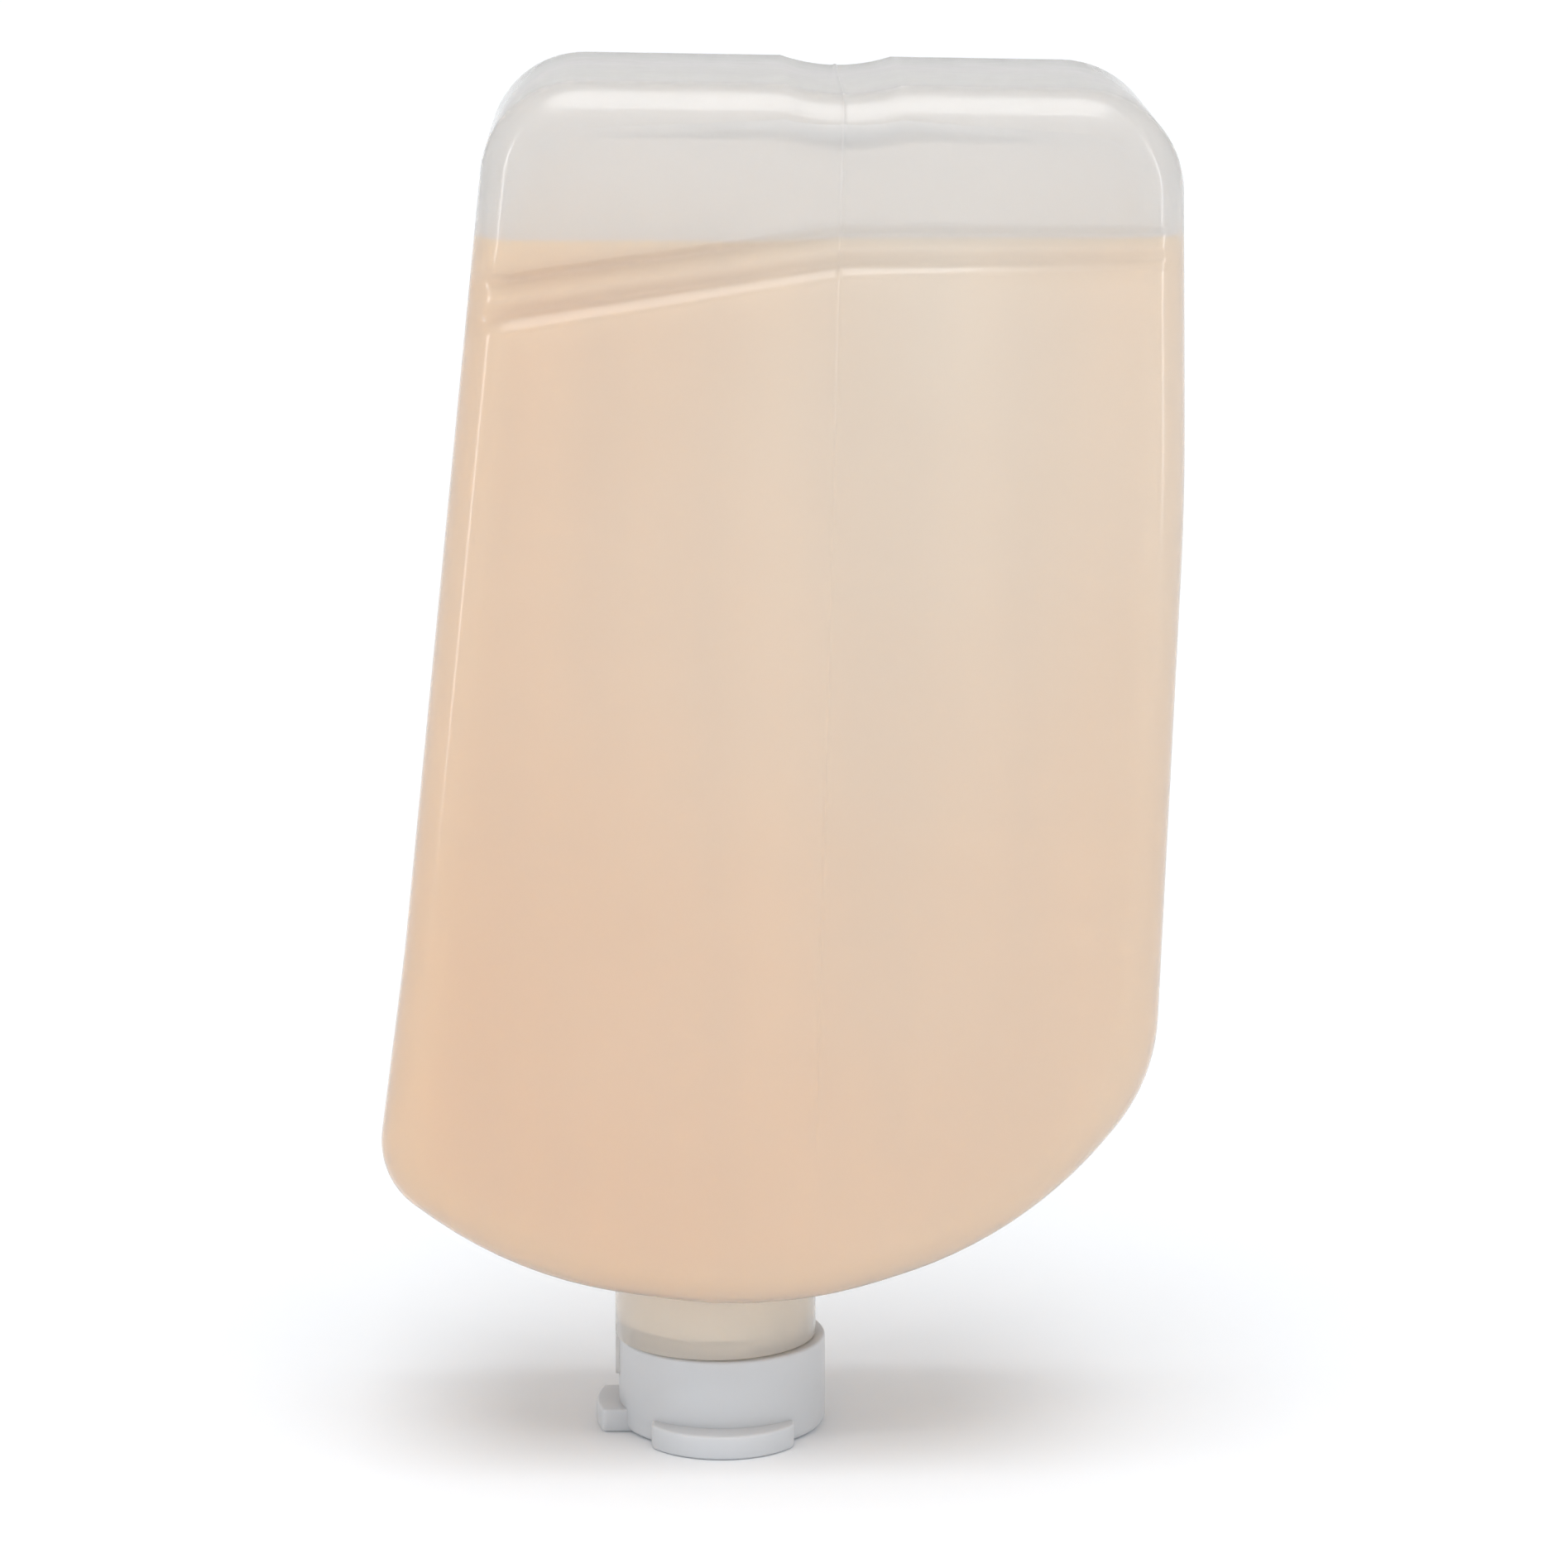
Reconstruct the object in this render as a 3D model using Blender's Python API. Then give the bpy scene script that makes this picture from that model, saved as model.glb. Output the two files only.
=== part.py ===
"""Hand soap refill pack: a blow-moulded bottle held neck down, with its soap and its bayonet closure.

The frame's origin is on the closure's axis at its lower end face, +Z runs up through the neck to the
bottle's base, and the broad face with the grip groove looks along -Y. Sizes are millimetres.
"""
import bisect
from math import asin, atan2, cos, exp, pi, radians, sin, sqrt, tan

import bmesh
import bpy
from mathutils import Vector

MM = 0.001

# Closure: an injection-moulded cap with a plain skirt and bayonet lugs.
CAP_HEIGHT = 13.7
CAP_WALL = 1.7
CAP_END_WALL = 1.6
CAP_EDGE_RADIUS = 1.3
CAP_RIM_CHAMFER = 0.4
OUTLET_RADIUS = 6.5
LUG_HEIGHT = 3.6
LUG_REACH = 4.0
LUG_HALF_WIDTH = 10.4
LUG_BOW_RADIUS = 12.2
SIDE_LUG_REACH = 3.3
SIDE_LUG_HALF_WIDTH = 6.0
SIDE_LUG_BOW_RADIUS = 18.6
SIDE_LUG_AZIMUTH = 180.0
LUG_EDGE_RADIUS = 0.45

# Neck: a narrow finish inside the closure below a wider blown collar.
FINISH_RADIUS = 12.9
FINISH_WALL = 1.8
SNAP_BEAD_HEIGHT = 0.4
COLLAR_RADIUS = 14.85
COLLAR_SHIFT = -0.95
NECK_LENGTH = 10.9
NECK_ROOT_FLARE = 1.6
KEY_WIDTH = 3.2
KEY_LENGTH = 6.0
KEY_REACH = 0.1

# Outlet membrane: a soft disc pinched between the neck's lip and the closure's end wall.
MEMBRANE_THICKNESS = 1.0
BOSS_CHAMFER = 0.3

# Bottle body, front view: corners of the outline as x from the neck's axis, height above the
# body's underside, and corner radius.
UNDERSIDE_X, UNDERSIDE_Z, UNDERSIDE_RADIUS = 7.7, -1.6, 67.0
LEFT_ROOF_X, LEFT_ROOF_Z, LEFT_ROOF_RADIUS = -29.5, 4.0, 62.0
LEFT_HIP_X, LEFT_HIP_Z, LEFT_HIP_RADIUS = -49.6, 19.0, 11.8
LEFT_WAIST_X, LEFT_WAIST_Z, LEFT_WAIST_RADIUS = -45.1, 52.0, 216.0
BASE_LEFT_X, BASE_LEFT_Z, BASE_LEFT_RADIUS = -31.8, 175.5, 13.9
BASE_RIGHT_X, BASE_RIGHT_Z, BASE_RIGHT_RADIUS = 63.9, 173.8, 14.6
RIGHT_WAIST_X, RIGHT_WAIST_Z, RIGHT_WAIST_RADIUS = 64.9, 116.6, 400.0
RIGHT_HIP_X, RIGHT_HIP_Z, RIGHT_HIP_RADIUS = 61.8, 33.0, 28.0
RIGHT_ROOF_X, RIGHT_ROOF_Z, RIGHT_ROOF_RADIUS = 43.4, 10.0, 62.0

# Bottle body, side view and wall.
BODY_DEPTH = 56.0
EDGE_RADIUS = 5.9
PANEL_CROWN = 0.7
WALL = 1.4

# Base channel along the parting line.
PARTING_X = 17.0
CHANNEL_WIDTH = 16.0
CHANNEL_DEPTH = 1.3

# Slanted grip groove across the front face: heights above the underside, half widths and depths.
GROOVE_LEFT_Z, GROOVE_LEFT_HALF, GROOVE_LEFT_DEPTH = 145.0, 4.8, 1.7
GROOVE_RIGHT_Z, GROOVE_RIGHT_HALF, GROOVE_RIGHT_DEPTH = 152.4, 3.3, 0.8
GROOVE_KINK_LIFT = 3.5
GROOVE_ROW_SPREAD = 18.0
GROOVE_RIDGE = 0.55
GROOVE_RIDGE_WIDTH = 0.22

# Soap: its level above the body's underside.
SOAP_LEVEL = 153.7

# Clearances between separate pieces.
SEAT_GAP = 0.3
SOAP_GAP = 0.3
KEY_GAP = 0.3
BORE_OVERRUN = 2.0
LUG_SINK = 0.8

# Mesh fineness.
ARC_STEP = 2.0
TURN_STEPS = 48
EDGE_STEPS = 3
FILLET_STEPS = 3
LUG_STEPS = 10
SIDE_LUG_STEPS = 4
SEARCH_STEPS = 40
SHARP_ANGLE = 35.0
SIDE_ROWS = (3, 6, 8, 2, 3)
BASE_COLUMNS = (4, 4, 6, 4, 4)
ROOF_COLUMNS = (4, 14, 4)

# Places that follow from the sizes above.
MEMBRANE_Z = CAP_END_WALL + SEAT_GAP
LIP_Z = MEMBRANE_Z + MEMBRANE_THICKNESS + SEAT_GAP
COLLAR_Z = CAP_HEIGHT + SEAT_GAP
BODY_Z = COLLAR_Z + NECK_LENGTH
BEAD_RADIUS = FINISH_RADIUS + SNAP_BEAD_HEIGHT
BEAD_Z = (LIP_Z + CAP_HEIGHT) / 2
CAP_INNER_RADIUS = BEAD_RADIUS + SEAT_GAP
CAP_RADIUS = CAP_INNER_RADIUS + CAP_WALL
BORE_RADIUS = FINISH_RADIUS - FINISH_WALL
KEY_X = -(CAP_RADIUS + KEY_REACH + SEAT_GAP)


def clear_scene():
    """Removes every object, mesh and material, so that the script starts from nothing."""
    for thing in list(bpy.data.objects):
        bpy.data.objects.remove(thing, do_unlink=True)
    for store in (bpy.data.meshes, bpy.data.materials):
        for block in list(store):
            store.remove(block)


def plastic(name, colour, roughness, alpha=1.0):
    """A plain Principled material in the part's colour."""
    made = bpy.data.materials.new(name)
    made.use_nodes = True
    made.diffuse_color = (*colour, alpha)
    shader = made.node_tree.nodes["Principled BSDF"]
    shader.inputs["Base Color"].default_value = (*colour, 1.0)
    shader.inputs["Roughness"].default_value = roughness
    shader.inputs["Metallic"].default_value = 0.0
    shader.inputs["Alpha"].default_value = alpha
    return made


def add_object(name, points, faces, material=None):
    """One object from points in millimetres, its faces turned outwards and shaded smooth."""
    mesh = bpy.data.meshes.new(name)
    mesh.from_pydata([Vector(p) * MM for p in points], [], faces)
    work = bmesh.new()
    work.from_mesh(mesh)
    bmesh.ops.recalc_face_normals(work, faces=work.faces)
    work.to_mesh(mesh)
    work.free()
    mesh.shade_smooth()
    mesh.set_sharp_from_angle(angle=radians(SHARP_ANGLE))
    made = bpy.data.objects.new(name, mesh)
    bpy.context.scene.collection.objects.link(made)
    if material:
        mesh.materials.append(material)
    return made


def combine(target, tool, operation):
    """Joins or cuts with an exact Boolean, and hides the tool."""
    step = target.modifiers.new(f"{operation.lower()} {tool.name}", "BOOLEAN")
    step.operation = operation
    step.solver = "EXACT"
    step.object = tool
    tool.hide_render = True
    tool.display_type = "WIRE"


class Outline:
    """The body's outline in the front view, clockwise from the middle of its underside arc."""

    def __init__(self, corners):
        self.points, self.normals, self.lengths = [], [], []
        self.starts, self.ends = [], []
        arcs = [self.corner_arc(corners, i) for i in range(len(corners))]
        first = arcs[0]
        half = len(first) // 2
        self.add(first[half:])
        self.starts.append(0.0)
        self.ends.append(self.lengths[-1])
        for arc in arcs[1:]:
            self.add(arc[:1])
            self.starts.append(self.lengths[-1])
            self.add(arc[1:])
            self.ends.append(self.lengths[-1])
        self.add(first[: half + 1])
        self.total = self.lengths[-1]

    @staticmethod
    def corner_arc(corners, index):
        """Points and outward normals round one corner."""
        x, z, radius = corners[index]
        before = Vector(corners[index - 1][:2])
        after = Vector(corners[(index + 1) % len(corners)][:2])
        corner = Vector((x, z))
        way_in = (corner - before).normalized()
        way_out = (after - corner).normalized()
        turn = -atan2(way_in.x * way_out.y - way_in.y * way_out.x, way_in.dot(way_out))
        bend = 1.0 if turn > 0 else -1.0
        reach = radius * tan(abs(turn) / 2)
        normal_in = Vector((-way_in.y, way_in.x))
        centre = corner - way_in * reach - normal_in * radius * bend
        steps = 2 * max(1, round(radius * abs(turn) / ARC_STEP / 2))
        arc = []
        for i in range(steps + 1):
            angle = -turn * i / steps
            normal = Vector((
                normal_in.x * cos(angle) - normal_in.y * sin(angle),
                normal_in.x * sin(angle) + normal_in.y * cos(angle),
            ))
            arc.append((centre + normal * radius * bend, normal))
        return arc

    def add(self, arc):
        for point, normal in arc:
            gap = (point - self.points[-1]).length if self.points else 0.0
            self.lengths.append(self.lengths[-1] + gap if self.lengths else 0.0)
            self.points.append(point)
            self.normals.append(normal)

    def at(self, length):
        """The point and outward normal at a distance along the outline."""
        i = min(max(bisect.bisect_right(self.lengths, length), 1), len(self.lengths) - 1)
        span = self.lengths[i] - self.lengths[i - 1]
        part = (length - self.lengths[i - 1]) / span if span else 0.0
        point = self.points[i - 1].lerp(self.points[i], part)
        normal = self.normals[i - 1].lerp(self.normals[i], part).normalized()
        return point, normal

    def crossing(self, axis, value, low, high):
        """The distance, between two others, where the outline's x (axis 0) or z (axis 1) has a value."""
        rising = self.at(high)[0][axis] > self.at(low)[0][axis]
        for _ in range(SEARCH_STEPS):
            middle = (low + high) / 2
            if (self.at(middle)[0][axis] < value) == rising:
                low = middle
            else:
                high = middle
        return (low + high) / 2


def body_outline():
    """The outline of the bottle's body, in the frame's own x and z."""
    corners = (
        (UNDERSIDE_X, UNDERSIDE_Z, UNDERSIDE_RADIUS),
        (LEFT_ROOF_X, LEFT_ROOF_Z, LEFT_ROOF_RADIUS),
        (LEFT_HIP_X, LEFT_HIP_Z, LEFT_HIP_RADIUS),
        (LEFT_WAIST_X, LEFT_WAIST_Z, LEFT_WAIST_RADIUS),
        (BASE_LEFT_X, BASE_LEFT_Z, BASE_LEFT_RADIUS),
        (BASE_RIGHT_X, BASE_RIGHT_Z, BASE_RIGHT_RADIUS),
        (RIGHT_WAIST_X, RIGHT_WAIST_Z, RIGHT_WAIST_RADIUS),
        (RIGHT_HIP_X, RIGHT_HIP_Z, RIGHT_HIP_RADIUS),
        (RIGHT_ROOF_X, RIGHT_ROOF_Z, RIGHT_ROOF_RADIUS),
    )
    return Outline([(x, z + BODY_Z, radius) for x, z, radius in corners])


def spread(marks, counts):
    """Distances that part each stretch between two marks into its own number of equal steps."""
    made = [marks[0]]
    for low, high, count in zip(marks, marks[1:], counts):
        made += [low + (high - low) * (i + 1) / count for i in range(count)]
    return made


def outline_stations(outline):
    """Distances along the outline for the rows of both sides and the columns of base and roof."""
    left_hip, base_left, base_right, right_hip = 2, 4, 5, 7
    start, end = outline.starts, outline.ends
    middle = [(a + b) / 2 for a, b in zip(start, end)]

    def crossings(axis, centre, half, low, high):
        return [outline.crossing(axis, centre + half * side, low, high) for side in (-1, 1)]

    left_groove = crossings(
        1, BODY_Z + GROOVE_LEFT_Z, GROOVE_LEFT_HALF, end[left_hip], start[base_left])
    right_groove = crossings(
        1, BODY_Z + GROOVE_RIGHT_Z, GROOVE_RIGHT_HALF, end[base_right], start[right_hip])
    channel = crossings(0, PARTING_X, CHANNEL_WIDTH / 2, end[base_left], start[base_right])
    left_marks = [middle[left_hip], end[left_hip], *left_groove, start[base_left], middle[base_left]]
    right_marks = [middle[right_hip], start[right_hip], *right_groove, end[base_right], middle[base_right]]
    base_marks = [middle[base_left], end[base_left], *channel, start[base_right], middle[base_right]]
    roof_marks = [
        middle[left_hip], start[left_hip], end[right_hip] - outline.total, middle[right_hip] - outline.total,
    ]
    left = spread(left_marks, SIDE_ROWS)
    right = spread(right_marks, SIDE_ROWS)
    base = spread(base_marks, BASE_COLUMNS)
    roof = [length % outline.total for length in spread(roof_marks, ROOF_COLUMNS)]
    return left, right, base, roof


def channel_drop(x):
    """How far the base's channel sinks at x: a shallow arc with plain corners."""
    offset = abs(x - PARTING_X) / (CHANNEL_WIDTH / 2)
    return CHANNEL_DEPTH * (1 - offset ** 2) if offset < 1 else 0.0


def across(x):
    """The share of the way from the left end of the grip groove to its right end."""
    return min(max((x - BASE_LEFT_X) / (BASE_RIGHT_X - BASE_LEFT_X), 0.0), 1.0)


def kink_rise(x):
    """How far the grip groove's kink is felt at x: all of it at the parting line, none at the ends."""
    share = across(x)
    kink = across(PARTING_X)
    return share / kink if share < kink else (1 - share) / (1 - kink)


def groove_centre(x):
    """Height of the grip groove's middle, which climbs to the parting line and then runs level."""
    straight = GROOVE_LEFT_Z + (GROOVE_RIGHT_Z - GROOVE_LEFT_Z) * across(x)
    return BODY_Z + straight + GROOVE_KINK_LIFT * kink_rise(x)


def groove_depth(x, z):
    """How far the face sinks into the grip groove, which has a low ridge along its middle."""
    share = across(x)
    half = GROOVE_LEFT_HALF + (GROOVE_RIGHT_HALF - GROOVE_LEFT_HALF) * share
    depth = GROOVE_LEFT_DEPTH + (GROOVE_RIGHT_DEPTH - GROOVE_LEFT_DEPTH) * share
    offset = (z - groove_centre(x)) / half
    if abs(offset) >= 1:
        return 0.0
    ridge = GROOVE_RIDGE * exp(-((offset / GROOVE_RIDGE_WIDTH) ** 2))
    return depth * cos(pi * offset / 2) ** 2 * (1 - ridge)


def inset_point(outline, length, inset):
    """A point of the outline moved inwards, as x and z, with the base channel pressed in."""
    point, normal = outline.at(length)
    moved = point - normal * inset
    drop = channel_drop(point.x) if normal.y > 0.5 else 0.0
    return moved.x, moved.y - drop


def patch_grid(left, right, base, roof):
    """A grid of x and z points between four edges, whose rows follow the grip groove."""
    rows, columns = len(left) - 1, len(base) - 1
    grid = []
    for j in range(rows + 1):
        v = j / rows
        row = []
        for i in range(columns + 1):
            u = i / columns
            spot = []
            for k in (0, 1):
                sides = (1 - u) * left[j][k] + u * right[j][k]
                ends = (1 - v) * roof[i][k] + v * base[i][k]
                foot = (1 - u) * roof[0][k] + u * roof[-1][k]
                head = (1 - u) * base[0][k] + u * base[-1][k]
                spot.append(sides + ends - (1 - v) * foot - v * head)
            x, z = spot
            if 0 < j < rows and 0 < i < columns:
                off_row = (z - BODY_Z - (GROOVE_LEFT_Z + GROOVE_RIGHT_Z) / 2) / GROOVE_ROW_SPREAD
                z += GROOVE_KINK_LIFT * kink_rise(x) * exp(-off_row ** 2)
            row.append((x, z))
        grid.append(row)
    return grid


def loop_around(left, right, base, roof):
    """The four edges as one closed loop: up the left, along the base, down the right, along the roof."""
    return left[:-1] + base[:-1] + right[:0:-1] + roof[:0:-1]


def body_form(inset):
    """Points and faces of the body, or of the space inside it, with every wall moved in by the inset."""
    outline = body_outline()
    stations = outline_stations(outline)
    edge = EDGE_RADIUS - inset
    points, faces, rings = [], [], []
    angles = [pi / 2 * i / EDGE_STEPS for i in range(EDGE_STEPS + 1)]
    profile = [(angle, -1) for angle in angles] + [(angle, 1) for angle in reversed(angles)]
    for angle, side in profile:
        edges = [
            [inset_point(outline, length, EDGE_RADIUS - edge * sin(angle)) for length in lengths]
            for lengths in stations
        ]
        ring = []
        for x, z in loop_around(*edges):
            y = side * (BODY_DEPTH / 2 - EDGE_RADIUS + edge * cos(angle))
            if side < 0:
                y += groove_depth(x, z) * cos(angle) ** 2
            ring.append(len(points))
            points.append((x, y, z))
        rings.append(ring)
    for ring, following in zip(rings, rings[1:]):
        for i in range(len(ring)):
            k = (i + 1) % len(ring)
            faces.append((ring[i], ring[k], following[k], following[i]))
    for side, ring in ((-1, rings[0]), (1, rings[-1])):
        add_panel(points, faces, outline, stations, side, ring, inset)
    return points, faces


def add_panel(points, faces, outline, stations, side, ring, inset):
    """Fills the front or the rear face with a slightly crowned grid that shares the ring's points."""
    edges = [[inset_point(outline, length, EDGE_RADIUS) for length in lengths] for lengths in stations]
    grid = patch_grid(*edges)
    rows, columns = len(grid) - 1, len(grid[0]) - 1
    index = [[None] * (columns + 1) for _ in range(rows + 1)]
    border = loop_around(
        [(j, 0) for j in range(rows + 1)],
        [(j, columns) for j in range(rows + 1)],
        [(rows, i) for i in range(columns + 1)],
        [(0, i) for i in range(columns + 1)],
    )
    for (j, i), number in zip(border, ring):
        index[j][i] = number
    for j in range(1, rows):
        for i in range(1, columns):
            x, z = grid[j][i]
            crown = PANEL_CROWN * sin(pi * i / columns) * sin(pi * j / rows)
            y = side * (BODY_DEPTH / 2 - inset + crown)
            if side < 0:
                y += groove_depth(x, z)
            index[j][i] = len(points)
            points.append((x, y, z))
    for j in range(rows):
        for i in range(columns):
            faces.append((index[j][i], index[j][i + 1], index[j + 1][i + 1], index[j + 1][i]))


def turned(rings):
    """A closed solid through circles given as centre x, radius and z, from one end to the other."""
    points, faces = [], []
    for centre, radius, z in rings:
        for k in range(TURN_STEPS):
            angle = 2 * pi * k / TURN_STEPS
            points.append((centre + radius * cos(angle), radius * sin(angle), z))
    for j in range(len(rings) - 1):
        for k in range(TURN_STEPS):
            a, b = j * TURN_STEPS + k, j * TURN_STEPS + (k + 1) % TURN_STEPS
            faces.append((a, b, b + TURN_STEPS, a + TURN_STEPS))
    faces.append(tuple(range(TURN_STEPS)))
    faces.append(tuple(range((len(rings) - 1) * TURN_STEPS, len(rings) * TURN_STEPS)))
    return points, faces


def turned_ring(profile):
    """A closed ring turned from a closed profile of radius and z."""
    count = len(profile)
    points, faces = [], []
    for k in range(TURN_STEPS):
        angle = 2 * pi * k / TURN_STEPS
        points += [(radius * cos(angle), radius * sin(angle), z) for radius, z in profile]
    for k in range(TURN_STEPS):
        here, there = k * count, (k + 1) % TURN_STEPS * count
        for i in range(count):
            n = (i + 1) % count
            faces.append((here + i, here + n, there + n, there + i))
    return points, faces


def block(low, high):
    """A plain box between two corners."""
    points = [(x, y, z) for x in (low[0], high[0]) for y in (low[1], high[1]) for z in (low[2], high[2])]
    faces = [(0, 1, 3, 2), (4, 6, 7, 5), (0, 4, 5, 1), (2, 3, 7, 6), (0, 2, 6, 4), (1, 5, 7, 3)]
    return points, faces


def lug_block(azimuth, half_width, reach, bow_radius, steps):
    """A lug with parallel ends and a bowed outer face with rounded edges, rooted in the skirt's wall."""
    r = LUG_EDGE_RADIUS
    root = CAP_RADIUS - LUG_SINK
    span = asin(half_width / bow_radius)
    out = Vector((cos(radians(azimuth)), sin(radians(azimuth))))
    along = Vector((-out.y, out.x))
    points, faces = [], []
    for k in range(steps + 1):
        angle = span * (2 * k / steps - 1)
        offset = bow_radius * sin(angle)
        near = sqrt(root ** 2 - offset ** 2)
        far = CAP_RADIUS + reach - bow_radius * (1 - cos(angle))
        section = [
            (near, 0.0), (far - r, 0.0), (far, r),
            (far, LUG_HEIGHT - r), (far - r, LUG_HEIGHT), (near, LUG_HEIGHT),
        ]
        for distance, z in section:
            spot = out * distance + along * offset
            points.append((spot.x, spot.y, z))
    count = len(section)
    for k in range(steps):
        for i in range(count):
            n = (i + 1) % count
            faces.append((k * count + i, k * count + n, (k + 1) * count + n, (k + 1) * count + i))
    faces.append(tuple(range(count)))
    faces.append(tuple(range(steps * count, (steps + 1) * count)))
    return points, faces


def neck_rings(inset, low, high):
    """Circles of the neck from a low end up into the body; an inset gives its bore, not its outside."""
    finish = FINISH_RADIUS if inset == 0 else BORE_RADIUS - inset + WALL
    collar = COLLAR_RADIUS - inset
    step_z = COLLAR_Z + (0.0 if inset == 0 else FINISH_WALL)
    rings = [(0.0, finish, low), (0.0, finish, step_z), (COLLAR_SHIFT, collar, step_z + inset)]
    for i in range(FILLET_STEPS + 1):
        angle = pi / 2 * i / FILLET_STEPS
        radius = collar + NECK_ROOT_FLARE * (1 - cos(angle))
        rings.append((COLLAR_SHIFT, radius, BODY_Z - NECK_ROOT_FLARE * (1 - sin(angle))))
    rings.append((COLLAR_SHIFT, collar + NECK_ROOT_FLARE, high))
    return rings


def make_neck():
    """The neck's outside, with its lip chamfer and its snap bead."""
    rings = neck_rings(0.0, LIP_Z, BODY_Z + EDGE_RADIUS)
    bead = SNAP_BEAD_HEIGHT
    lip = [(0.0, FINISH_RADIUS - bead, LIP_Z), (0.0, FINISH_RADIUS, LIP_Z + bead)]
    snap = [
        (0.0, FINISH_RADIUS, BEAD_Z - 2 * bead), (0.0, BEAD_RADIUS, BEAD_Z - bead / 2),
        (0.0, BEAD_RADIUS, BEAD_Z + bead / 2), (0.0, FINISH_RADIUS, BEAD_Z + 2 * bead),
    ]
    return add_object("neck form", *turned(lip + snap + rings[1:]))


def make_cavity(name, inset, low, top=None):
    """The space inside the bottle, or the soap in it, from a low end in the bore up to the base."""
    space = add_object(name, *body_form(inset))
    bore = add_object(f"{name} bore", *turned(neck_rings(inset, low, BODY_Z + 2 * EDGE_RADIUS)))
    combine(space, bore, "UNION")
    if top is not None:
        ceiling = add_object(f"{name} level", *block(
            (LEFT_HIP_X - CAP_RADIUS, -BODY_DEPTH, top),
            (RIGHT_WAIST_X + CAP_RADIUS, BODY_DEPTH, BODY_Z + BASE_LEFT_Z + CAP_RADIUS)))
        combine(space, ceiling, "DIFFERENCE")
    return space


def make_bottle():
    """The blown bottle: body and neck in one wall, open at the lip, with a key beside the closure."""
    bottle = add_object("bottle", *body_form(0.0), plastic("natural_hdpe", (0.80, 0.77, 0.73), 0.38, 0.55))
    combine(bottle, make_neck(), "UNION")
    key = add_object("key form", *block(
        (KEY_X, -KEY_WIDTH / 2, COLLAR_Z - KEY_LENGTH),
        (-(FINISH_RADIUS - FINISH_WALL / 2), KEY_WIDTH / 2, COLLAR_Z + FINISH_WALL)))
    combine(bottle, key, "UNION")
    combine(bottle, make_cavity("cavity form", WALL, LIP_Z - BORE_OVERRUN), "DIFFERENCE")


def make_soap():
    """The soap: it fills the bottle from the membrane to its level."""
    soap = make_cavity("soap", WALL + SOAP_GAP, LIP_Z, BODY_Z + SOAP_LEVEL)
    soap.data.materials.append(plastic("peach_soap", (0.86, 0.60, 0.40), 0.25))


def make_cap():
    """The closure: a cup with an outlet, a slot for the neck's key and its bayonet lugs."""
    r = CAP_EDGE_RADIUS
    angles = [pi / 2 * i / FILLET_STEPS for i in range(FILLET_STEPS + 1)]
    rounding = [(CAP_RADIUS - r + r * sin(angle), r - r * cos(angle)) for angle in angles]
    profile = [
        (OUTLET_RADIUS, 0.0), *rounding,
        (CAP_RADIUS, CAP_HEIGHT - CAP_RIM_CHAMFER), (CAP_RADIUS - CAP_RIM_CHAMFER, CAP_HEIGHT),
        (CAP_INNER_RADIUS, CAP_HEIGHT), (CAP_INNER_RADIUS, CAP_END_WALL), (OUTLET_RADIUS, CAP_END_WALL),
    ]
    material = plastic("translucent_pp", (0.68, 0.69, 0.71), 0.32, 0.9)
    cap = add_object("closure_cap", *turned_ring(profile), material)
    for name, azimuth in (("front", -90.0), ("rear", 90.0)):
        lug = lug_block(azimuth, LUG_HALF_WIDTH, LUG_REACH, LUG_BOW_RADIUS, LUG_STEPS)
        combine(cap, add_object(f"{name} lug form", *lug), "UNION")
    side_lug = lug_block(
        SIDE_LUG_AZIMUTH, SIDE_LUG_HALF_WIDTH, SIDE_LUG_REACH, SIDE_LUG_BOW_RADIUS, SIDE_LUG_STEPS)
    combine(cap, add_object("side lug form", *side_lug), "UNION")
    slot = block(
        (-CAP_RADIUS - CAP_WALL, -KEY_WIDTH / 2 - KEY_GAP, COLLAR_Z - KEY_LENGTH - KEY_GAP),
        (-(FINISH_RADIUS - SEAT_GAP), KEY_WIDTH / 2 + KEY_GAP, CAP_HEIGHT + CAP_WALL))
    combine(cap, add_object("key slot form", *slot), "DIFFERENCE")


def make_membrane():
    """The outlet membrane: a soft disc whose boss fills the closure's outlet flush with the end face."""
    rim = CAP_INNER_RADIUS - SEAT_GAP
    boss = OUTLET_RADIUS - SEAT_GAP
    rings = [
        (0.0, boss - BOSS_CHAMFER, 0.0), (0.0, boss, BOSS_CHAMFER), (0.0, boss, MEMBRANE_Z),
        (0.0, rim, MEMBRANE_Z), (0.0, rim, MEMBRANE_Z + MEMBRANE_THICKNESS),
    ]
    add_object("outlet_membrane", *turned(rings), plastic("silicone", (0.85, 0.86, 0.86), 0.45))


clear_scene()
make_bottle()
make_soap()
make_cap()
make_membrane()
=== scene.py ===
"""Hand soap refill pack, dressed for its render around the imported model.

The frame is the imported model's own: the closure's lower end face is at z = 0 on its axis, and the
broad face with the grip groove looks along -Y. Sizes are millimetres until a mesh is made.
"""
from bisect import bisect_right
from math import atan2, cos, exp, pi, radians, sin, sqrt, tan

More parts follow.
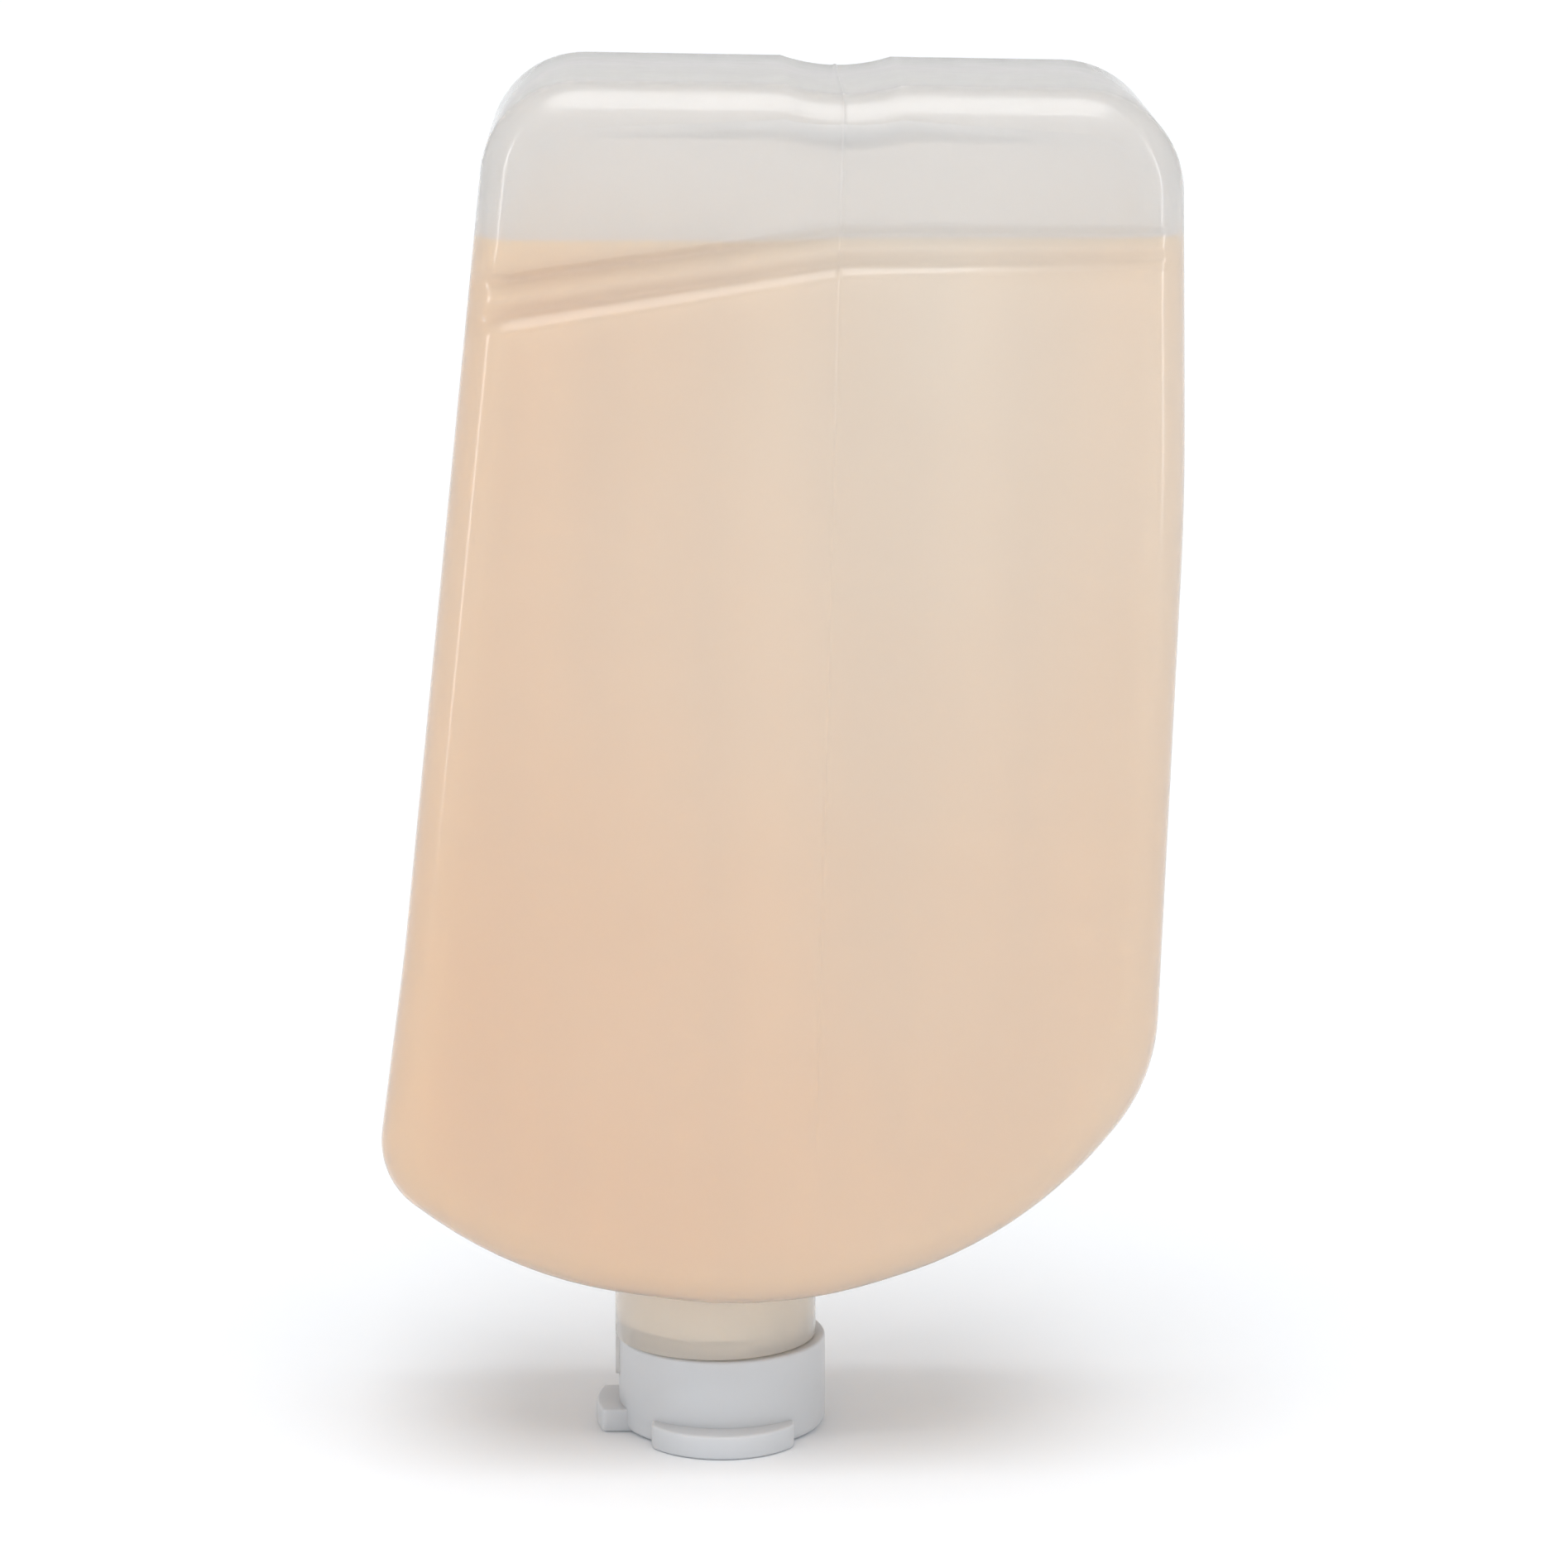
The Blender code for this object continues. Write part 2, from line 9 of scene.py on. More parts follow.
import bmesh
import bpy
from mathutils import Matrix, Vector


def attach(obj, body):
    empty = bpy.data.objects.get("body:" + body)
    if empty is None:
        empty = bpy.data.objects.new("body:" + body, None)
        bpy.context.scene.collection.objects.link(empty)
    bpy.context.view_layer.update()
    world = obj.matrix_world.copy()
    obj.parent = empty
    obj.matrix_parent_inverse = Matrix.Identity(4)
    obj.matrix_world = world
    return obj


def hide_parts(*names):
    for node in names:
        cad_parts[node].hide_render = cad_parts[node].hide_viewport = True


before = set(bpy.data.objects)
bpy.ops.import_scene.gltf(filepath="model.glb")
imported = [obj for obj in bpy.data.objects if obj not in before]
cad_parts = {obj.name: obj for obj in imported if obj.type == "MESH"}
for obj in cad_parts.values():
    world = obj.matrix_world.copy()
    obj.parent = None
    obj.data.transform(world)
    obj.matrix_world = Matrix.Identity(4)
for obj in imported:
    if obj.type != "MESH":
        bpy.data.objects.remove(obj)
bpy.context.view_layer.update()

scene = bpy.context.scene

# Camera: a long lens, a little above the pack and almost square to its broad face, at the angle of
# the photograph. The closure's ellipses and the two edges of the base strip settle its place.
CAMERA_PLACE = (-0.006048, -0.829167, 0.274953)
CAMERA_DOWN = 12.156
CAMERA_TURN = 1.052
LENS = 134.43
SENSOR = 36.0

camera = bpy.data.objects.new("camera", bpy.data.cameras.new("camera"))
camera.data.lens = LENS
camera.data.sensor_width = SENSOR
camera.location = CAMERA_PLACE
camera.rotation_euler = (radians(90 - CAMERA_DOWN), 0, -radians(CAMERA_TURN))
scene.collection.objects.link(camera)
scene.camera = camera


# Bottle: natural polyethylene, blown in one wall from the base to the lip of the neck. The mould
# closes along the parting line, which leaves a fine bead on both broad faces and a channel across
# the base. The front face has a slanted grip groove in two steps.
MM = 0.001
SKIN = 0.07
WALL = 1.4
BODY_Z = 24.9
BODY_DEPTH = 56.0
EDGE_RADIUS = 5.9
INSIDE_DEPTH = 7.4
PANEL_CROWN = 0.55
OUTLINE_CORNERS = (
    (7.7, -1.6, 67.0),
    (-29.5, 4.0, 62.0),
    (-49.6, 19.0, 11.8),
    (-45.1, 52.0, 216.0),
    (-31.8, 175.5, 13.9),
    (63.9, 173.8, 14.6),
    (64.9, 116.6, 400.0),
    (61.8, 33.0, 28.0),
    (43.4, 10.0, 62.0),
)
LEFT_HIP, BASE_LEFT, BASE_RIGHT, RIGHT_HIP = 2, 4, 5, 7
BASE_LEFT_X, BASE_RIGHT_X = OUTLINE_CORNERS[BASE_LEFT][0], OUTLINE_CORNERS[BASE_RIGHT][0]
UPWARD = 0.5

PARTING_TOP_X, PARTING_TOP_Z = 17.0, 199.9
PARTING_LEAN = 0.0253
PARTING_FOOT_X = 12.6
PARTING_FADE_Z, PARTING_FADE = 46.0, 12.0
BEAD_HEIGHT, BEAD_WIDTH = 0.16, 0.22
CHANNEL_HALF, CHANNEL_DEPTH = 8.0, 1.3
FOOT_HALF = 4.0

GROOVE_LEFT_Z, GROOVE_LEFT_HALF, GROOVE_LEFT_DEPTH = 145.0, 4.8, 1.35
GROOVE_RIGHT_Z, GROOVE_RIGHT_HALF, GROOVE_RIGHT_DEPTH = 152.4, 3.3, 0.55
GROOVE_KINK_LIFT = 3.5
GROOVE_RIDGE, GROOVE_RIDGE_PLACE, GROOVE_STEEP = 0.45, 0.05, 0.46
GROOVE_FOLLOW, GROOVE_RELEASE = 7.0, 40.0

ARC_STEP = 0.8
EDGE_STEPS = 8
CLUSTER_STEPS, CLUSTER_POWER = 12, 2.2
SIDE_ROWS = (10, 34, 30, 8, 8)
BASE_COLUMNS = (8, 16, 16, 8)
ROOF_PULL, BASE_PULL = 3, 20
HALVINGS, BLEND_ROUNDS = 40, 3
SHARP_BLOWN = 35
CUT_OVERRUN = 2.0


class Outline:
    """The body's outline in the front view, clockwise from the middle of its underside arc."""

    def __init__(self, corners):
        self.points, self.normals, self.lengths = [], [], []
        self.starts, self.ends = [], []
        arcs = [self.corner_arc(corners, i) for i in range(len(corners))]
        half = len(arcs[0]) // 2
        self.add(arcs[0][half:])
        self.starts.append(0.0)
        self.ends.append(self.lengths[-1])
        for arc in arcs[1:]:
            self.add(arc[:1])
            self.starts.append(self.lengths[-1])
            self.add(arc[1:])
            self.ends.append(self.lengths[-1])
        self.add(arcs[0][:half + 1])
        self.total = self.lengths[-1]

    @staticmethod
    def corner_arc(corners, index):
        """Points and outward normals round one corner."""
        x, z, radius = corners[index]
        corner = Vector((x, z))
        way_in = (corner - Vector(corners[index - 1][:2])).normalized()
        way_out = (Vector(corners[(index + 1) % len(corners)][:2]) - corner).normalized()
        turn = -atan2(way_in.x * way_out.y - way_in.y * way_out.x, way_in.dot(way_out))
        bend = 1.0 if turn > 0 else -1.0
        normal_in = Vector((-way_in.y, way_in.x))
        centre = corner - way_in * radius * tan(abs(turn) / 2) - normal_in * radius * bend
        steps = 2 * max(1, round(radius * abs(turn) / ARC_STEP / 2))
        arc = []
        for i in range(steps + 1):
            angle = -turn * i / steps
            normal = Vector((
                normal_in.x * cos(angle) - normal_in.y * sin(angle),
                normal_in.x * sin(angle) + normal_in.y * cos(angle),
            ))
            arc.append((centre + normal * radius * bend, normal))
        return arc

    def add(self, arc):
        for point, normal in arc:
            gap = (point - self.points[-1]).length if self.points else 0.0
            self.lengths.append(self.lengths[-1] + gap if self.lengths else 0.0)
            self.points.append(point)
            self.normals.append(normal)

    def at(self, length):
        """The point and outward normal at a distance along the outline."""
        length %= self.total
        i = min(max(bisect_right(self.lengths, length), 1), len(self.lengths) - 1)
        span = self.lengths[i] - self.lengths[i - 1]
        part = (length - self.lengths[i - 1]) / span if span else 0.0
        point = self.points[i - 1].lerp(self.points[i], part)
        return point, self.normals[i - 1].lerp(self.normals[i], part).normalized()

    def crossing(self, axis, value, low, high):
        """The distance, between two others, where the outline's x (axis 0) or z (axis 1) has a value."""
        rising = self.at(high)[0][axis] > self.at(low)[0][axis]
        for _ in range(HALVINGS):
            middle = (low + high) / 2
            if (self.at(middle)[0][axis] < value) == rising:
                low = middle
            else:
                high = middle
        return (low + high) / 2


def spread(marks, counts):
    """Distances that part each stretch between two marks into its own number of equal steps."""
    made = [marks[0]]
    for low, high, count in zip(marks, marks[1:], counts):
        made += [low + (high - low) * (i + 1) / count for i in range(count)]
    return made


def cluster(half):
    """Offsets to both sides of the parting line, close together near it."""
    side = [half * (i / CLUSTER_STEPS) ** CLUSTER_POWER for i in range(1, CLUSTER_STEPS + 1)]
    return [-offset for offset in reversed(side)] + [0.0] + side


def outline_stations(outline):
    """Distances along the outline for the rows of both sides and the columns of base and roof."""
    start, end, total = outline.starts, outline.ends, outline.total
    middle = [(a + b) / 2 for a, b in zip(start, end)]

    def groove(z, half, low, high):
        return [outline.crossing(1, BODY_Z + z + half * side, low, high) for side in (-1, 1)]

    left_groove = groove(GROOVE_LEFT_Z, GROOVE_LEFT_HALF, end[LEFT_HIP], start[BASE_LEFT])
    right_groove = groove(GROOVE_RIGHT_Z, GROOVE_RIGHT_HALF, end[BASE_RIGHT], start[RIGHT_HIP])
    left = spread(
        [middle[LEFT_HIP], end[LEFT_HIP], *left_groove, start[BASE_LEFT], middle[BASE_LEFT]], SIDE_ROWS)
    right = spread(
        [middle[RIGHT_HIP], start[RIGHT_HIP], *right_groove, end[BASE_RIGHT], middle[BASE_RIGHT]], SIDE_ROWS)

    def ends(first, second, third, fourth, centre, half):
        near = [outline.crossing(0, centre + offset, second, third) for offset in cluster(half)]
        outer, inner = BASE_COLUMNS[:2], BASE_COLUMNS[2:]
        before = spread([first, second, near[0]], outer)
        after = spread([near[-1], third, fourth], inner)
        return before[:-1] + near + after[1:]

    base = ends(
        middle[BASE_LEFT], end[BASE_LEFT], start[BASE_RIGHT], middle[BASE_RIGHT],
        PARTING_TOP_X, CHANNEL_HALF)
    roof = ends(
        middle[LEFT_HIP], start[LEFT_HIP], end[RIGHT_HIP] - total, middle[RIGHT_HIP] - total,
        PARTING_FOOT_X, FOOT_HALF)
    return left, right, base, roof


def ease(t):
    """A smooth step from 0 to 1."""
    t = min(max(t, 0.0), 1.0)
    return t * t * (3 - 2 * t)


def parting_x(z):
    """Where the parting line runs on the broad faces: it leans a little."""
    return PARTING_TOP_X - PARTING_LEAN * (PARTING_TOP_Z - z)


def bead(x, z):
    """Height of the parting line's bead, which fades out towards the neck."""
    fade = ease((z - PARTING_FADE_Z) / PARTING_FADE)
    return BEAD_HEIGHT * fade * exp(-((x - parting_x(z)) / BEAD_WIDTH) ** 2)


def channel_drop(x):
    """How far the base's channel sinks at x: a shallow arc with plain corners."""
    offset = abs(x - PARTING_TOP_X) / CHANNEL_HALF
    return CHANNEL_DEPTH * (1 - offset ** 2) if offset < 1 else 0.0


def across(x):
    """The share of the way from the left end of the grip groove to its right end."""
    return min(max((x - BASE_LEFT_X) / (BASE_RIGHT_X - BASE_LEFT_X), 0.0), 1.0)


def kink_rise(x):
    """How far the grip groove's kink is felt at x: all of it at the parting line, none at the ends."""
    share, kink = across(x), across(PARTING_TOP_X)
    return share / kink if share < kink else (1 - share) / (1 - kink)


def groove_centre(x):
    """Height of the grip groove's middle, which climbs to the parting line and then runs level."""
    straight = GROOVE_LEFT_Z + (GROOVE_RIGHT_Z - GROOVE_LEFT_Z) * across(x)
    return BODY_Z + straight + GROOVE_KINK_LIFT * kink_rise(x)


def groove_depth(x, z):
    """How far the face sinks into the groove: two steps, each steep under its lip and then easing out."""
    share = across(x)
    half = GROOVE_LEFT_HALF + (GROOVE_RIGHT_HALF - GROOVE_LEFT_HALF) * share
    depth = GROOVE_LEFT_DEPTH + (GROOVE_RIGHT_DEPTH - GROOVE_LEFT_DEPTH) * share
    place = (z - groove_centre(x)) / half
    if abs(place) >= 1:
        return 0.0
    if place > GROOVE_RIDGE_PLACE:
        way, start, stop = (1 - place) / (1 - GROOVE_RIDGE_PLACE), 0.0, GROOVE_RIDGE
    else:
        way, start, stop = (GROOVE_RIDGE_PLACE - place) / (1 + GROOVE_RIDGE_PLACE), GROOVE_RIDGE, 0.0
    if way < GROOVE_STEEP:
        return depth * (start + (1 - start) * ease(way / GROOVE_STEEP))
    return depth * (1 - (1 - stop) * ease((way - GROOVE_STEEP) / (1 - GROOVE_STEEP)))


def shares(edge, axis):
    """How far along each point of an edge lies between its two ends."""
    first, last = edge[0][axis], edge[-1][axis]
    return [(point[axis] - first) / (last - first) for point in edge]


def panel_grid(left, right, base, roof):
    """Rows of x, z and the shares across and up, between four edges; the rows follow the groove."""
    rows, columns = len(left) - 1, len(base) - 1
    left_up, right_up = shares(left, 1), shares(right, 1)
    roof_over, base_over = shares(roof, 0), shares(base, 0)
    middle = columns // 2
    grid = []
    for j in range(rows + 1):
        row = []
        for i in range(columns + 1):
            v = left_up[j]
            for _ in range(BLEND_ROUNDS):
                u = (1 - v) * roof_over[i] + v * base_over[i]
                v = (1 - u) * left_up[j] + u * right_up[j]
            spot = []
            for k in (0, 1):
                side = (1 - u) * left[j][k] + u * right[j][k]
                foot = roof[i][k] - (1 - u) * roof[0][k] - u * roof[-1][k]
                head = base[i][k] - (1 - u) * base[0][k] - u * base[-1][k]
                spot.append(side + (1 - v) ** ROOF_PULL * foot + v ** BASE_PULL * head)
            row.append([*spot, u, v])
        if 0 < j < rows:
            off = parting_x(row[middle][1]) - row[middle][0]
            for i in range(1, columns):
                row[i][0] += off * (1 - abs(i - middle) / middle)
                away = abs(row[i][1] + GROOVE_KINK_LIFT * kink_rise(row[i][0]) - groove_centre(row[i][0]))
                hold = 1 - ease((away - GROOVE_FOLLOW) / GROOVE_RELEASE)
                row[i][1] += GROOVE_KINK_LIFT * kink_rise(row[i][0]) * hold
        grid.append(row)
    return grid


def loop_around(left, right, base, roof):
    """The four edges as one closed loop: up the left, along the base, down the right, along the roof."""
    return left[:-1] + base[:-1] + right[:0:-1] + roof[:0:-1]


def body_form(inset, centre_depth, beaded=False):
    """Points and faces of the body, or of the space inside it, with every wall moved in by the inset
    and every edge rounded about a centre at a given depth."""
    outline = Outline([(x, z + BODY_Z, radius) for x, z, radius in OUTLINE_CORNERS])
    stations = outline_stations(outline)
    edge = centre_depth - inset
    points, faces, rings = [], [], []

    def edges_at(angle):
        made = []
        for lengths in stations:
            side = []
            for length in lengths:
                point, normal = outline.at(length)
                drop = channel_drop(point.x) if normal.y > UPWARD else 0.0
                moved = point - normal * (centre_depth - edge * sin(angle))
                side.append((moved.x, moved.y - drop, normal))
            made.append(side)
        return made

    angles = [pi / 2 * i / EDGE_STEPS for i in range(EDGE_STEPS + 1)]
    profile = [(angle, -1) for angle in angles] + [(angle, 1) for angle in reversed(angles)]
    for angle, side in profile:
        ring = []
        for x, z, normal in loop_around(*edges_at(angle)):
            y = side * (BODY_DEPTH / 2 - centre_depth + edge * cos(angle))
            if side < 0:
                y += groove_depth(x, z) * cos(angle) ** 2
            proud = bead(x, z) if beaded and normal.y > UPWARD else 0.0
            ring.append(len(points))
            points.append((
                x + normal.x * proud * sin(angle), y + side * proud * cos(angle),
                z + normal.y * proud * sin(angle)))
        rings.append(ring)
    for ring, following in zip(rings, rings[1:]):
        for i in range(len(ring)):
            k = (i + 1) % len(ring)
            faces.append((ring[i], ring[k], following[k], following[i]))

    grid = panel_grid(*edges_at(0.0))
    rows, columns = len(grid) - 1, len(grid[0]) - 1
    border = loop_around(
        [(j, 0) for j in range(rows + 1)], [(j, columns) for j in range(rows + 1)],
        [(rows, i) for i in range(columns + 1)], [(0, i) for i in range(columns + 1)])
    for side, ring in ((-1, rings[0]), (1, rings[-1])):
        index = [[None] * (columns + 1) for _ in range(rows + 1)]
        for (j, i), number in zip(border, ring):
            index[j][i] = number
        for j in range(1, rows):
            for i in range(1, columns):
                x, z, u, v = grid[j][i]
                y = BODY_DEPTH / 2 - inset + PANEL_CROWN * sin(pi * u) * sin(pi * v)
                y += bead(x, z) if beaded else 0.0
                y -= groove_depth(x, z) if side < 0 else 0.0
                index[j][i] = len(points)
                points.append((x, side * y, z))
        for j in range(rows):
            for i in range(columns):
                faces.append((index[j][i], index[j][i + 1], index[j + 1][i + 1], index[j + 1][i]))
    return points, faces


def form(name, points, faces):
    """One object from points in millimetres, with its faces turned outwards."""
    mesh = bpy.data.meshes.new(name)
    mesh.from_pydata([Vector(point) * MM for point in points], [], faces)
    work = bmesh.new()
    work.from_mesh(mesh)
    bmesh.ops.recalc_face_normals(work, faces=work.faces)
    work.to_mesh(mesh)
    work.free()
    mesh.shade_smooth()
    made = bpy.data.objects.new(name, mesh)
    scene.collection.objects.link(made)
    return made


def moulded(base, name, sharp, *steps):
    """Joins and cuts forms with exact Booleans and keeps the result as one plain mesh."""
    for operation, tool in steps:
        step = base.modifiers.new(tool.name, "BOOLEAN")
        step.operation = operation
        step.solver = "EXACT"
        step.object = tool
    graph = bpy.context.evaluated_depsgraph_get()
    mesh = bpy.data.meshes.new_from_object(base.evaluated_get(graph))
    for tool in [base] + [tool for _, tool in steps]:
        bpy.data.objects.remove(tool)
    mesh.name = name
    mesh.shade_smooth()
    mesh.set_sharp_from_angle(angle=radians(sharp))
    made = bpy.data.objects.new(name, mesh)
    scene.collection.objects.link(made)
    return made


TURN_STEPS = 128


def turned(rings):
    """A closed solid through circles given as centre x, radius and z, from one end to the other."""
    points, faces = [], []
    for centre, radius, z in rings:
        for k in range(TURN_STEPS):
            angle = 2 * pi * k / TURN_STEPS
            points.append((centre + radius * cos(angle), radius * sin(angle), z))
    for j in range(len(rings) - 1):
        for k in range(TURN_STEPS):
            a, b = j * TURN_STEPS + k, j * TURN_STEPS + (k + 1) % TURN_STEPS
            faces.append((a, b, b + TURN_STEPS, a + TURN_STEPS))
    faces.append(tuple(range(TURN_STEPS)))
    faces.append(tuple(range((len(rings) - 1) * TURN_STEPS, len(rings) * TURN_STEPS)))
    return points, faces


def block(low, high):
    """A plain box form between two corners, for cutting and joining."""
    points = [(x, y, z) for x in (low[0], high[0]) for y in (low[1], high[1]) for z in (low[2], high[2])]
    faces = [(0, 1, 3, 2), (4, 6, 7, 5), (0, 4, 5, 1), (2, 3, 7, 6), (0, 2, 6, 4), (1, 5, 7, 3)]
    return points, faces


CAP_HEIGHT, CAP_RADIUS, CAP_INNER_RADIUS, CAP_END_WALL = 13.7, 15.3, 13.6, 1.6
FINISH_RADIUS, FINISH_WALL = 12.9, 1.8
COLLAR_RADIUS, COLLAR_SHIFT = 14.85, -0.95
NECK_ROOT_FLARE = 1.6
SNAP_BEAD = 0.4
KEY_WIDTH, KEY_LENGTH, KEY_X = 3.2, 6.0, -15.7
LIP_Z, COLLAR_Z = 3.2, 13.72
FLARE_STEPS = 6


def neck_rings(inset, low, high):
    """Circles of the neck from a low end up into the body; an inset gives its bore, not its outside."""
    outside = inset < WALL
    finish = FINISH_RADIUS - inset if outside else FINISH_RADIUS - FINISH_WALL + WALL - inset
    collar = COLLAR_RADIUS - inset
    step_z = COLLAR_Z + (inset if outside else FINISH_WALL)
    rings = [(0.0, finish, low), (0.0, finish, step_z), (COLLAR_SHIFT, collar, step_z + inset)]
    for i in range(FLARE_STEPS + 1):
        angle = pi / 2 * i / FLARE_STEPS
        radius = collar + NECK_ROOT_FLARE * (1 - cos(angle))
        rings.append((COLLAR_SHIFT, radius, BODY_Z - NECK_ROOT_FLARE * (1 - sin(angle))))
    rings.append((COLLAR_SHIFT, collar + NECK_ROOT_FLARE, high))
    return rings


bead_z = (LIP_Z + CAP_HEIGHT) / 2
neck_profile = [
    (0.0, FINISH_RADIUS - SNAP_BEAD, LIP_Z), (0.0, FINISH_RADIUS - SKIN, LIP_Z + SNAP_BEAD),
    (0.0, FINISH_RADIUS - SKIN, bead_z - 2 * SNAP_BEAD),
    (0.0, FINISH_RADIUS + SNAP_BEAD, bead_z - SNAP_BEAD / 2),
    (0.0, FINISH_RADIUS + SNAP_BEAD, bead_z + SNAP_BEAD / 2),
    (0.0, FINISH_RADIUS - SKIN, bead_z + 2 * SNAP_BEAD),
] + neck_rings(SKIN, LIP_Z, BODY_Z + EDGE_RADIUS)[1:]
cavity = moulded(
    form("cavity body", *body_form(WALL, INSIDE_DEPTH)), "cavity", SHARP_BLOWN,
    ("UNION", form("cavity bore", *turned(neck_rings(WALL, LIP_Z - CUT_OVERRUN, BODY_Z + 2 * EDGE_RADIUS)))))
bottle = moulded(
    form("bottle body", *body_form(SKIN, EDGE_RADIUS, beaded=True)), "bottle_wall", SHARP_BLOWN,
    ("UNION", form("neck", *turned(neck_profile))),
    ("UNION", form("key", *block(
        (KEY_X, -KEY_WIDTH / 2, COLLAR_Z - KEY_LENGTH),
        (-(FINISH_RADIUS - FINISH_WALL / 2), KEY_WIDTH / 2, COLLAR_Z + FINISH_WALL)))),
    ("DIFFERENCE", cavity))


def add_node(tree, kind, place, values=None, **settings):
    """One shader node with its settings and the values of its sockets."""
    made = tree.nodes.new(kind)
    made.location = place
    for name, value in settings.items():
        setattr(made, name, value)
    for name, value in (values or {}).items():
        made.inputs[name].default_value = value
    return made


def moulding_group():
    """Cloudiness, flow streaks and fine grain of moulded plastic, from the object's own coordinates."""
    tree = bpy.data.node_groups.new("moulding marks", "ShaderNodeTree")
    for name, value in (("Cloud Scale", 30.0), ("Streak Scale", 260.0), ("Grain Scale", 1400.0)):
        socket = tree.interface.new_socket(name, in_out="INPUT", socket_type="NodeSocketFloat")
        socket.default_value = value
    for name in ("Cloud", "Streak", "Grain"):
        tree.interface.new_socket(name, in_out="OUTPUT", socket_type="NodeSocketFloat")
    source = add_node(tree, "NodeGroupInput", (-800, 0))
    result = add_node(tree, "NodeGroupOutput", (400, 0))
    place = add_node(tree, "ShaderNodeTexCoord", (-800, 260))
    cloud = add_node(tree, "ShaderNodeTexNoise", (-200, 300), {"Detail": 3.0, "Roughness": 0.5})
    long_way = add_node(
        tree, "ShaderNodeMapping", (-500, 0), {"Scale": (1.0, 1.0, 0.04)}, vector_type="POINT")
    streak = add_node(tree, "ShaderNodeTexNoise", (-200, 0), {"Detail": 2.0, "Roughness": 0.6})
    grain = add_node(tree, "ShaderNodeTexNoise", (-200, -300), {"Detail": 2.0, "Roughness": 0.5})
    link = tree.links.new
    link(place.outputs["Object"], cloud.inputs["Vector"])
    link(place.outputs["Object"], long_way.inputs["Vector"])
    link(long_way.outputs["Vector"], streak.inputs["Vector"])
    link(place.outputs["Object"], grain.inputs["Vector"])
    for name, noise in (("Cloud", cloud), ("Streak", streak), ("Grain", grain)):
        link(source.outputs[f"{name} Scale"], noise.inputs["Scale"])
        link(noise.outputs["Fac"], result.inputs[name])
    return tree


def ranged(tree, source, place, low, high, start=0.3, stop=0.7):
    """A value that runs from low to high while the source runs from start to stop."""
    made = add_node(tree, "ShaderNodeMapRange", place, {
        "From Min": start, "From Max": stop, "To Min": low, "To Max": high})
    tree.links.new(source, made.inputs["Value"])
    return made.outputs["Result"]


def blended(tree, factor, place, first, second):
    """A colour between two others, by a factor; each may be a plain colour or a socket."""
    made = add_node(tree, "ShaderNodeMix", place, data_type="RGBA")
    tree.links.new(factor, made.inputs["Factor"])
    for socket, colour in zip((made.inputs[6], made.inputs[7]), (first, second)):
        if isinstance(colour, tuple):
            socket.default_value = (*colour, 1.0)
        else:
            tree.links.new(colour, socket)
    return made.outputs[2]


def new_material(name):
    """An empty Principled material and its shader."""
    made = bpy.data.materials.new(name)
    made.use_nodes = True
    return made, made.node_tree, made.node_tree.nodes["Principled BSDF"]


moulding = moulding_group()

WALL_PALE, WALL_WARM = (0.975, 0.97, 0.965), (0.96, 0.95, 0.935)
WALL_ROUGH_LOW, WALL_ROUGH_HIGH = 0.54, 0.64
WALL_CLEAR = 0.75
WALL_SHEEN, WALL_SHEEN_ROUGH = 1.0, 0.15
WALL_IOR = 1.5
STREAK_HEIGHT, GRAIN_HEIGHT = 0.00003, 0.000006

natural_hdpe, tree, shader = new_material("natural_hdpe")
marks = add_node(tree, "ShaderNodeGroup", (-900, 0), {
    "Cloud Scale": 22.0, "Streak Scale": 200.0, "Grain Scale": 1300.0}, node_tree=moulding)
tree.links.new(
    blended(tree, marks.outputs["Cloud"], (-500, 300), WALL_PALE, WALL_WARM), shader.inputs["Base Color"])
tree.links.new(
    ranged(tree, marks.outputs["Streak"], (-500, 50), WALL_ROUGH_LOW, WALL_ROUGH_HIGH),
    shader.inputs["Roughness"])
swell = add_node(tree, "ShaderNodeBump", (-500, -500), {"Strength": 1.0, "Distance": STREAK_HEIGHT})
tree.links.new(marks.outputs["Streak"], swell.inputs["Height"])
skin = add_node(tree, "ShaderNodeBump", (-250, -500), {"Strength": 1.0, "Distance": GRAIN_HEIGHT})
tree.links.new(marks.outputs["Grain"], skin.inputs["Height"])
tree.links.new(swell.outputs["Normal"], skin.inputs["Normal"])
tree.links.new(skin.outputs["Normal"], shader.inputs["Normal"])
shader.inputs["IOR"].default_value = WALL_IOR
shader.inputs["Transmission Weight"].default_value = WALL_CLEAR
shader.inputs["Coat Weight"].default_value = WALL_SHEEN
shader.inputs["Coat Roughness"].default_value = WALL_SHEEN_ROUGH

bottle.data.materials.append(natural_hdpe)
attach(bottle, "root")
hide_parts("bottle")


# Soap: a pearly peach liquid that fills the bottle from the membrane to its level, with a fine
# meniscus where it climbs the wall.
SOAP_OVERLAP = 0.06
SOAP_LEVEL = 153.7
MENISCUS_WIDTH, MENISCUS_DROP = 1.6, 0.7
SHARP_LEVEL = 50

